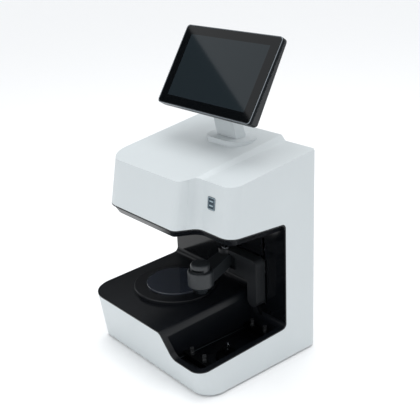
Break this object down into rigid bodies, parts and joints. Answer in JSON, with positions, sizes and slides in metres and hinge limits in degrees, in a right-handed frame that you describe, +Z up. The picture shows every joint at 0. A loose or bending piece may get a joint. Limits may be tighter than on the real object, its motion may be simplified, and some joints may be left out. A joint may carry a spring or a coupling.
{
  "type": "lens centring and tracing unit",
  "caption": "Bench unit for spectacle lenses: lit lens table, blocking arm on a lift, frame tracer well and a tilting display.",
  "frame": {"origin": "on the table top under the middle of the casing's footprint", "axes": "+Z up, +X to the operator's right, -Y towards the operator"},
  "size_m": [0.338, 0.316, 0.6266],
  "materials": {
    "white_abs": "satin moulded",
    "black_lining": "satin moulded",
    "gloss_lining": "polished",
    "galvanised_steel": "galvanised",
    "rubber": "matte",
    "zinc_screw": "zinc plated",
    "circuit_board": "solder mask",
    "black_component": "moulded",
    "clear_glass": "polished",
    "anodised_black": "black anodised",
    "table_glass": "polished",
    "ground_steel": "ground",
    "aluminium": "machined",
    "badge_foil": "foil",
    "brass": "machined",
    "grey_paint": "satin paint",
    "screen_glass": "polished",
    "lcd_panel": "switched off",
    "textured_abs": "fine texture"
  },
  "bodies": {
    "chassis": {"left_shell": "white_abs", "right_shell": "white_abs", "bay_floor": "black_lining", "bay_rear_wall": "gloss_lining", "head_soffit": "black_lining", "base_pan": "galvanised_steel", "rear_cover": "white_abs", "feet": "rubber", "casing_screws": "zinc_screw", "column_frame": "galvanised_steel", "power_supply": "galvanised_steel", "control_board": "circuit_board", "fan_frame": "black_component", "power_entry": "black_component", "port_block": "galvanised_steel", "head_window": "clear_glass", "ring_light": "black_component", "camera_lens": "anodised_black", "camera_body": "anodised_black", "table_ring": "black_lining", "table_plate": "table_glass", "light_cup": "black_component", "light_board": "circuit_board", "lift_rails": "ground_steel", "lift_bearings": "aluminium", "lift_motor": "anodised_black", "tracer_well": "black_lining", "tracer_rails": "anodised_black", "tracer_motor": "anodised_black", "tracer_belt": "rubber", "display_neck": "white_abs", "hinge_pin": "ground_steel", "stand_base": "white_abs", "head_badge": "badge_foil"},
    "fan": {"fan_rotor": "black_component"},
    "rocker": {"power_rocker": "black_component"},
    "screw": {"lead_screw": "ground_steel"},
    "saddle": {"lift_carriage": "aluminium", "lift_nut": "brass", "lift_saddle": "textured_abs", "arm_pivot_pin": "ground_steel"},
    "arm": {"blocking_arm": "grey_paint", "arm_head": "grey_paint", "chuck_motor": "anodised_black", "arm_head_cap": "grey_paint"},
    "chuck": {"block_chuck": "anodised_black"},
    "front_clamp": {"front_slider": "anodised_black", "front_clamps": "black_component"},
    "rear_clamp": {"rear_slider": "anodised_black", "rear_clamps": "black_component"},
    "turntable": {"tracer_turntable": "anodised_black", "turntable_pulley": "aluminium"},
    "motor_pulley": {"motor_pulley": "aluminium"},
    "feeler_slide": {"feeler_carriage": "anodised_black"},
    "feeler": {"tracer_feeler": "ground_steel"},
    "display": {"display_frame": "anodised_black", "display_glass": "screen_glass", "display_panel": "lcd_panel", "display_back": "textured_abs", "display_bracket": "anodised_black"}
  },
  "joints": [
    {"name": "fan_spin", "type": "hinge", "parent": "chassis", "child": "fan", "pos_m": [-0.06, 0.15, 0.16], "axis": [0, 1, 0], "continuous": true},
    {"name": "power_rocker_tilt", "type": "hinge", "parent": "chassis", "child": "rocker", "pos_m": [-0.1042, 0.153, 0.044], "axis": [1, 0, 0], "range_deg": [0, 12]},
    {"name": "arm_lift", "type": "slide", "parent": "chassis", "child": "saddle", "axis": [0, 0, 1], "range_m": [-0.018, 0.04]},
    {"name": "screw_spin", "type": "hinge", "parent": "chassis", "child": "screw", "pos_m": [0.11, 0.112, 0.1], "axis": [0, 0, 1], "range_deg": [-1000, 2000]},
    {"name": "arm_swing", "type": "hinge", "parent": "saddle", "child": "arm", "pos_m": [0.0223, 0.056, 0.183], "axis": [0, 0, 1], "range_deg": [-63, 8]},
    {"name": "chuck_turn", "type": "hinge", "parent": "arm", "child": "chuck", "pos_m": [0.06, -0.042, 0.156], "axis": [0, 0, 1], "continuous": true},
    {"name": "front_clamp_slide", "type": "slide", "parent": "chassis", "child": "front_clamp", "axis": [0, 1, 0], "range_m": [0, 0.04]},
    {"name": "rear_clamp_slide", "type": "slide", "parent": "chassis", "child": "rear_clamp", "axis": [0, 1, 0], "range_m": [-0.04, 0]},
    {"name": "turntable_spin", "type": "hinge", "parent": "chassis", "child": "turntable", "pos_m": [0.1185, -0.031, 0.026], "axis": [0, 0, 1], "continuous": true},
    {"name": "motor_pulley_spin", "type": "hinge", "parent": "chassis", "child": "motor_pulley", "pos_m": [0.0602, -0.031, 0.012], "axis": [0, 0, 1], "continuous": true},
    {"name": "feeler_reach", "type": "slide", "parent": "turntable", "child": "feeler_slide", "axis": [1, 0, 0], "range_m": [-0.01, 0.01]},
    {"name": "feeler_lift", "type": "slide", "parent": "feeler_slide", "child": "feeler", "axis": [0, 0, 1], "range_m": [0, 0.008]},
    {"name": "display_tilt", "type": "hinge", "parent": "chassis", "child": "display", "pos_m": [0, 0.07595, 0.5105], "axis": [1, 0, 0], "range_deg": [-15, 20]}
  ],
  "couplings": [
    {"joint": "screw_spin", "follows": "arm_lift", "rad_per_m": 628.32},
    {"joint": "rear_clamp_slide", "follows": "front_clamp_slide", "ratio": -1},
    {"joint": "motor_pulley_spin", "follows": "turntable_spin", "ratio": 2.5}
  ]
}
